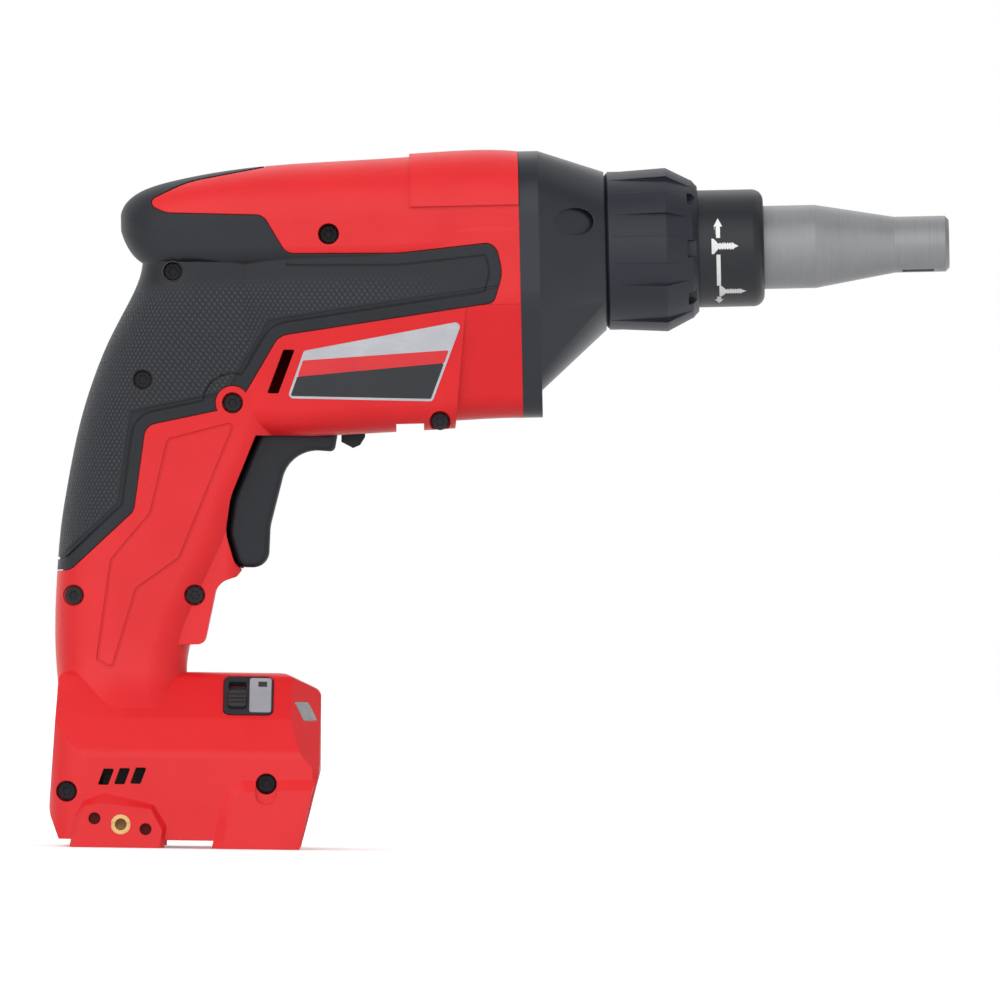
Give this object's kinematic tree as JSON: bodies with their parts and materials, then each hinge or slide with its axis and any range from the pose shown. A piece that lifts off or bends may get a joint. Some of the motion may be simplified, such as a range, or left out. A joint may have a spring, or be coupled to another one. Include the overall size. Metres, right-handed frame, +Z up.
{
  "type": "drywall screwdriver",
  "caption": "Cordless drywall screwdriver with a closed barrel, pistol grip, ribbed depth collar, sleeve and pull-off nose over a spindle driven through a push-in clutch.",
  "frame": {"origin": "on the ground under the middle of the tool, in its middle plane", "axes": "+X toward the nose, +Z up, +Y to the tool's left; the spindle line leans 2 degrees nose up"},
  "size_m": [0.2551, 0.076, 0.2004],
  "materials": {
    "red_housing": "satin moulded nylon",
    "soft_grip": "textured soft grip",
    "gear_case": "black satin coating",
    "black_plastic": "matte moulded",
    "grey_metal": "bead blasted",
    "steel": "ground",
    "black_steel": "black oxide",
    "core_steel": "laminated",
    "copper_wire": "enamelled",
    "brass": "machined",
    "circuit": "coated board",
    "alloy": "die cast",
    "switch_grey": "matte moulded",
    "lens": "clear moulded",
    "seal": "smooth",
    "bush": "sintered",
    "fan": "moulded"
  },
  "bodies": {
    "housing": {"housing_right": "red_housing", "housing_left": "red_housing", "grip_right": "soft_grip", "grip_left": "soft_grip", "housing_screws": "black_steel", "belt_hook_inserts": "brass", "gear_case": "gear_case", "bearing_plate": "alloy", "plate_screws": "black_steel", "motor_stator": "core_steel", "motor_windings": "copper_wire", "sensor_board": "circuit", "rotor_bearing_front": "steel", "rotor_bearing_rear": "steel", "spindle_bush_front": "bush", "spindle_bush_rear": "bush", "collar_clip": "black_steel", "switch_body": "switch_grey", "lever_pin": "steel", "control_module": "alloy", "terminal_block": "black_plastic", "battery_terminals": "brass", "mode_switch_bezel": "switch_grey", "work_light_lenses": "lens", "work_light_boards": "circuit"},
    "rotor": {"rotor_core": "core_steel", "motor_shaft": "steel", "cooling_fan": "fan", "motor_pinion": "steel"},
    "gear": {"output_gear": "steel", "clutch_spring": "steel"},
    "washer": {"thrust_washer": "steel"},
    "spindle": {"spindle": "steel", "clutch_plate": "steel", "bit_holder": "steel", "bit_magnet": "steel"},
    "collar": {"depth_collar": "black_plastic"},
    "sleeve": {"depth_sleeve": "black_plastic"},
    "nose": {"nose_cone": "grey_metal", "nose_o_ring": "seal"},
    "trigger": {"trigger": "black_plastic", "switch_plunger": "switch_grey"},
    "lever": {"reversing_lever": "black_plastic"},
    "mode_slider": {"mode_switch_slider": "switch_grey"}
  },
  "joints": [
    {"name": "trigger_pull", "type": "slide", "parent": "housing", "child": "trigger", "axis": [-1, 0, 0], "range_m": [0, 0.006], "stiffness_N_per_m": 1000, "springref_m": -0.004},
    {"name": "reversing_lever_swing", "type": "hinge", "parent": "housing", "child": "lever", "pos_m": [-0.034, 0, 0.126], "axis": [0, 0, 1], "range_deg": [-10, 10]},
    {"name": "mode_switch_slide", "type": "slide", "parent": "housing", "child": "mode_slider", "axis": [0, 0.7145, 0.6996], "range_m": [0, 0.004]},
    {"name": "collar_turn", "type": "hinge", "parent": "housing", "child": "collar", "pos_m": [0.04197, 0, 0.17247], "axis": [0.9994, 0, 0.0349], "range_deg": [-180, 180]},
    {"name": "sleeve_travel", "type": "slide", "parent": "housing", "child": "sleeve", "axis": [0.9994, 0, 0.0349], "range_m": [-0.00301, 0.00301]},
    {"name": "nose_pull", "type": "slide", "parent": "sleeve", "child": "nose", "axis": [0.9994, 0, 0.0349], "range_m": [0, 0.06]},
    {"name": "motor_spin", "type": "hinge", "parent": "housing", "child": "rotor", "pos_m": [-0.02444, 0, 0.15454], "axis": [0.9994, 0, 0.0349], "continuous": true},
    {"name": "gear_spin", "type": "hinge", "parent": "housing", "child": "gear", "pos_m": [0.01299, 0, 0.17145], "axis": [0.9994, 0, 0.0349], "continuous": true},
    {"name": "spindle_push", "type": "slide", "parent": "housing", "child": "washer", "axis": [-0.9994, 0, -0.0349], "range_m": [0, 0.0022], "stiffness_N_per_m": 2000, "springref_m": -0.002, "deforming": ["clutch_spring"]},
    {"name": "spindle_spin", "type": "hinge", "parent": "washer", "child": "spindle", "pos_m": [0.03998, 0, 0.1724], "axis": [0.9994, 0, 0.0349], "continuous": true}
  ],
  "couplings": [
    {"joint": "sleeve_travel", "follows": "collar_turn", "m_per_rad": -0.00095493},
    {"joint": "gear_spin", "follows": "motor_spin", "ratio": -0.3},
    {"joint": "spindle_spin", "follows": "motor_spin", "ratio": -0.3}
  ]
}
